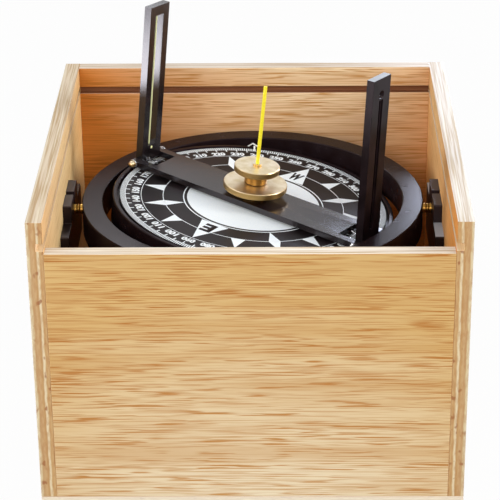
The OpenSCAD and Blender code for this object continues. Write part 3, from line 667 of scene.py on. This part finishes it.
# The neck's faces take the brass with painted shade
for face in upper.faces:
    middle = face.calc_center_median()
    on_neck = math.hypot(middle.x, middle.y) < (NECK_R + 0.1) * MM and middle.z < UPPER_FOOT * MM
    face.material_index = int(on_neck)
upper_knob = new_piece("upper_knob_turned", upper, "upper_knob", brass, IN_BOWL,
                       ["upper_clamp_knob"])
upper_knob.data.materials.append(shaded_neck_brass)
flat_ends(upper_knob)


# Print on the card: degree ticks, bearings, circles and the pointers of the rose

PRINT_T = 0.05 * MM
NORTH = math.radians(328.75)
INK_Z = CARD_TOP - 0.01 * MM

TICKS_END = 79.2
LONG_TICK, SHORT_TICK = 73.5, 76.1
TICK_HALF = 0.33
CIRCLES = ((75.95, 76.25), (66.6, 66.95), (53.55, 53.95), (41.2, 41.9))
WHITE_DISC = (8.5, 39.5)
ROSE_IN, ROSE_MID, ROSE_OUT = 41.9, 53.75, 66
LETTERED_HALF, DIAMOND_HALF, SPUR_HALF = 9.1, 3.5, 4.2


def raise_ink(bm, faces):
    """Gives flat printed faces the ink's thickness."""
    raised = bmesh.ops.extrude_face_region(bm, geom=faces)["geom"]
    bmesh.ops.translate(bm, vec=(0, 0, PRINT_T),
                        verts=[g for g in raised if isinstance(g, bmesh.types.BMVert)])


def ink_shape(bm, points, turn):
    """A flat printed shape from (across, outward) points in millimetres, at a bearing."""
    spin = Matrix.Rotation(turn - math.pi / 2, 4, "Z")
    verts = [bm.verts.new(spin @ Vector((x * MM, y * MM, 0))) for x, y in points]
    raise_ink(bm, [bm.faces.new(verts)])


def ink_ring(bm, inner, outer):
    """A thin printed circle between two radii in millimetres."""
    ends = [bm.verts.new((inner * MM, 0, 0)), bm.verts.new((outer * MM, 0, 0)),
            bm.verts.new((outer * MM, 0, PRINT_T)), bm.verts.new((inner * MM, 0, PRINT_T))]
    edges = [bm.edges.new((ends[i], ends[(i + 1) % 4])) for i in range(4)]
    bmesh.ops.spin(bm, geom=ends + edges, cent=(0, 0, 0), axis=(0, 0, 1), angle=math.tau,
                   steps=SPIN_STEPS, use_merge=True)


def ink_text(bm, words, height, width, radius, turn, weight):
    """Generic figures or a letter, their tops outward, centred at a radius and bearing."""
    curve = bpy.data.curves.new("figures", "FONT")
    curve.body = words
    curve.align_x = "CENTER"
    curve.offset = weight
    curve.resolution_u = 3
    holder = bpy.data.objects.new("figures", curve)
    bpy.context.scene.collection.objects.link(holder)
    bpy.context.view_layer.update()
    mesh = bpy.data.meshes.new_from_object(holder.evaluated_get(
        bpy.context.evaluated_depsgraph_get()))
    bpy.data.objects.remove(holder)
    low = [min(v.co[i] for v in mesh.vertices) for i in (X, Y)]
    high = [max(v.co[i] for v in mesh.vertices) for i in (X, Y)]
    size = Matrix.Diagonal((width * MM / (high[0] - low[0]), height * MM / (high[1] - low[1]),
                            1, 1))
    centre = Matrix.Translation((-(low[0] + high[0]) / 2, -(low[1] + high[1]) / 2, 0))
    mesh.transform(Matrix.Rotation(turn - math.pi / 2, 4, "Z")
                   @ Matrix.Translation((0, radius * MM, 0)) @ size @ centre)
    before = set(bm.verts)
    bm.from_mesh(mesh)
    bpy.data.meshes.remove(mesh)
    raise_ink(bm, [f for f in bm.faces if not any(v in before for v in f.verts)])


white = bmesh.new()
for degree in range(360):
    start = LONG_TICK if degree % 5 == 0 else SHORT_TICK
    ink_shape(white, [(-TICK_HALF, start), (TICK_HALF, start), (TICK_HALF, TICKS_END),
                      (-TICK_HALF, TICKS_END)], NORTH - math.radians(degree))
for inner, outer in CIRCLES:
    ink_ring(white, inner, outer)
ink_ring(white, *WHITE_DISC)
for step in range(8):
    turn = NORTH - math.radians(45 * step)
    if step % 2 == 0:
        ink_shape(white, [(-LETTERED_HALF, ROSE_IN), (LETTERED_HALF, ROSE_IN), (0, ROSE_OUT)],
                  turn)
    else:
        ink_shape(white, [(0, ROSE_IN), (DIAMOND_HALF, ROSE_MID), (0, ROSE_OUT),
                          (-DIAMOND_HALF, ROSE_MID)], turn)
    ink_shape(white, [(-SPUR_HALF, ROSE_MID), (SPUR_HALF, ROSE_MID), (0, ROSE_OUT)],
              turn - math.radians(22.5))
for degree in range(0, 360, 10):
    ink_text(white, "%03d" % degree, height=4.6, width=8.6, radius=70.1,
             turn=NORTH - math.radians(degree), weight=0.055)
new_piece("card_print", white, "card", card_white,
          IN_BOWL @ Matrix.Translation((0, 0, INK_Z)))

letters = bmesh.new()
for letter, degree in (("N", 0), ("E", 90), ("S", 180), ("W", 270)):
    ink_text(letters, letter, height=10.5, width=7.4, radius=49.4,
             turn=NORTH - math.radians(degree), weight=0.055)
new_piece("card_letters", letters, "card", card_black,
          IN_BOWL @ Matrix.Translation((0, 0, INK_Z + 0.6 * PRINT_T)))


# Camera at the photograph's angle

PHOTO_PX = 500
FOCAL_PX = 2070.8
SENSOR_MM = 36
CAMERA_AT = Vector((17.1, -1119.0, 644.0)) * MM
yaw, pitch, roll = (math.radians(a) for a in (-0.970, 25.815, -0.584))
ahead = Vector((math.sin(yaw) * math.cos(pitch), math.cos(yaw) * math.cos(pitch),
                -math.sin(pitch)))
level = Vector((math.cos(yaw), -math.sin(yaw), 0))
above = level.cross(ahead)
right = level * math.cos(roll) + above * math.sin(roll)
up = above * math.cos(roll) - level * math.sin(roll)
lens = bpy.data.cameras.new("camera")
lens.sensor_width = SENSOR_MM
lens.lens = SENSOR_MM * FOCAL_PX / PHOTO_PX
lens.clip_start, lens.clip_end = 0.01, 50
camera = bpy.data.objects.new("camera", lens)
view_axes = Matrix((right, up, -ahead)).transposed().to_4x4()
camera.matrix_world = Matrix.Translation(CAMERA_AT) @ view_axes
bpy.context.scene.collection.objects.link(camera)
bpy.context.scene.camera = camera


# Studio: a white sweep, three soft boxes, and cards that show only in the sheen


def soft_lamp(name, at, aim, size, power, tint):
    """A soft box at a point, aimed at another, not seen by the camera."""
    data = bpy.data.lights.new(name, "AREA")
    data.shape = "RECTANGLE"
    data.size, data.size_y = size
    data.energy = power
    data.color = tone(tint)[:3]
    lamp = bpy.data.objects.new(name, data)
    lamp.location = at
    lamp.rotation_euler = (Vector(aim) - Vector(at)).to_track_quat("-Z", "Y").to_euler()
    lamp.visible_camera = False
    bpy.context.scene.collection.objects.link(lamp)
    return lamp


LAMP_AIM = (0, 0, 0.12)
soft_lamp("front_fill", (-0.3, -1.5, 0.85), LAMP_AIM, (1.0, 0.7), 12.3, "FFFDF8")
soft_lamp("right_fill", (1.4, -0.3, 0.85), LAMP_AIM, (0.9, 0.7), 20.0, "FFFDF8")
soft_lamp("left_fill", (-1.4, -0.4, 0.9), LAMP_AIM, (0.9, 0.7), 12.0, "FFFDF8")

# The cards stand behind the thread vane, behind the case on the right, and low at the left
cards = [soft_lamp("vane_card", (-0.12, 0.35, 0.43), (-0.12, -0.5, 0.2), (0.14, 0.1), 0.38,
                   "F4F8FF"),
         soft_lamp("right_card", (0.35, 0.35, 0.23), (0.35, -0.5, 0.16), (0.46, 0.14), 6.6,
                   "DCE6FF"),
         soft_lamp("left_card", (-0.42, -0.1, 0.06), (0, 0, 0.22), (0.5, 0.14), 3.5,
                   "F6F6FC")]
for card in cards:
    card.visible_diffuse = False


def backdrop_rays(tree):
    """How far a ray sees plain white: fully from the camera or through a clear surface, and to
    four fifths in a gloss."""
    path = add(tree, "ShaderNodeLightPath").outputs
    glossy = add(tree, "ShaderNodeMath", {0: path["Is Glossy Ray"], 1: 0.8},
                 operation="MULTIPLY").outputs[0]
    either = add(tree, "ShaderNodeMath", {0: path["Is Camera Ray"], 1: glossy},
                 operation="MAXIMUM").outputs[0]
    return add(tree, "ShaderNodeMath", {0: either, 1: path["Is Transmission Ray"]},
               operation="MAXIMUM").outputs[0]


# The sweep keeps a trace of its own shade, so that the case's shadow shows on it
floor_material, tree, out = new_material("white_paper_sweep")
clear = add(tree, "ShaderNodeMath", {0: backdrop_rays(tree), 1: 0.97},
            operation="MULTIPLY").outputs[0]
paper = add(tree, "ShaderNodeBsdfDiffuse", {"Color": tone("B8B8B6")}).outputs[0]
glow = add(tree, "ShaderNodeEmission", {"Color": tone("FFFFFF"), "Strength": 1.0}).outputs[0]
mixed = add(tree, "ShaderNodeMixShader", {0: clear, 1: paper, 2: glow}).outputs[0]
tree.links.new(mixed, out.inputs[0])
sweep = bmesh.new()
bmesh.ops.create_grid(sweep, x_segments=1, y_segments=1, size=8)
mesh = bpy.data.meshes.new("floor")
sweep.to_mesh(mesh)
sweep.free()
floor = bpy.data.objects.new("floor", mesh)
bpy.context.scene.collection.objects.link(floor)
mesh.materials.append(floor_material)

world = bpy.data.worlds.new("studio")
bpy.context.scene.world = world
world.use_nodes = True
tree = world.node_tree
tree.nodes.clear()
soft_sky = add(tree, "ShaderNodeBackground", {"Color": tone("F4F8FF"), "Strength": 0.57})
clear_sky = add(tree, "ShaderNodeBackground", {"Color": tone("FFFFFF"), "Strength": 1.0})
sky = add(tree, "ShaderNodeMixShader", {0: backdrop_rays(tree), 1: soft_sky.outputs[0],
                                        2: clear_sky.outputs[0]})
add(tree, "ShaderNodeOutputWorld", {0: sky.outputs[0]})

bpy.context.scene.view_settings.view_transform = "Standard"
